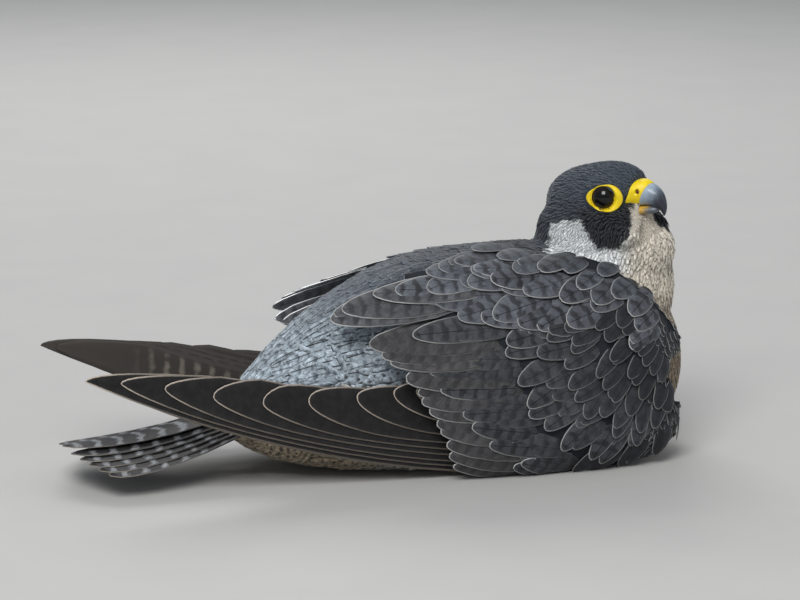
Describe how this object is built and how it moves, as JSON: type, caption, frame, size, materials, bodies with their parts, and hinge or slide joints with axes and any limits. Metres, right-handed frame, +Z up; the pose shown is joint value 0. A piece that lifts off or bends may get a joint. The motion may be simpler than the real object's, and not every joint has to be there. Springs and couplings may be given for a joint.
{
  "type": "peregrine falcon",
  "caption": "Life-size model of an adult peregrine falcon sitting low on the ground, wings half dropped, head turned to its right.",
  "frame": {"origin": "on the ground, under the middle of the belly", "axes": "+X the way the body points, from tail to breast, -Y its right side, +Z up"},
  "size_m": [0.3931, 0.1646, 0.1809],
  "materials": {
    "slate_feathers": "matte slate-grey feathers, barred, pale fringes",
    "flight_feathers": "blackish brown vanes with thin pale fringes",
    "pale_feathers": "buff white feathers with dark bars and spots",
    "head_feathers": "fine dark slate feathers with white cheek and buff throat",
    "bare_skin": "yellow waxy skin",
    "bill_horn": "satin horn, pale at the base and dark at the tip",
    "claw_horn": "satin black horn",
    "eye": "wet gloss, dark brown iris"
  },
  "bodies": {
    "root": {"head": "head_feathers", "cere": "bare_skin", "bill_upper": "bill_horn", "bill_lower": "bill_horn", "eye_right": "eye", "eye_left": "eye", "neck": "head_feathers", "breast": "pale_feathers", "back": "slate_feathers", "belly": "pale_feathers", "rump": "slate_feathers", "vent": "pale_feathers", "tail": "flight_feathers", "wing_right": "slate_feathers", "primaries_right": "flight_feathers", "leg_right": "bare_skin", "claw_inner_right": "claw_horn", "claw_middle_right": "claw_horn", "claw_outer_right": "claw_horn", "claw_hind_right": "claw_horn", "wing_left": "slate_feathers", "primaries_left": "flight_feathers", "leg_left": "bare_skin", "claw_inner_left": "claw_horn", "claw_middle_left": "claw_horn", "claw_outer_left": "claw_horn", "claw_hind_left": "claw_horn"}
  },
  "joints": []
}
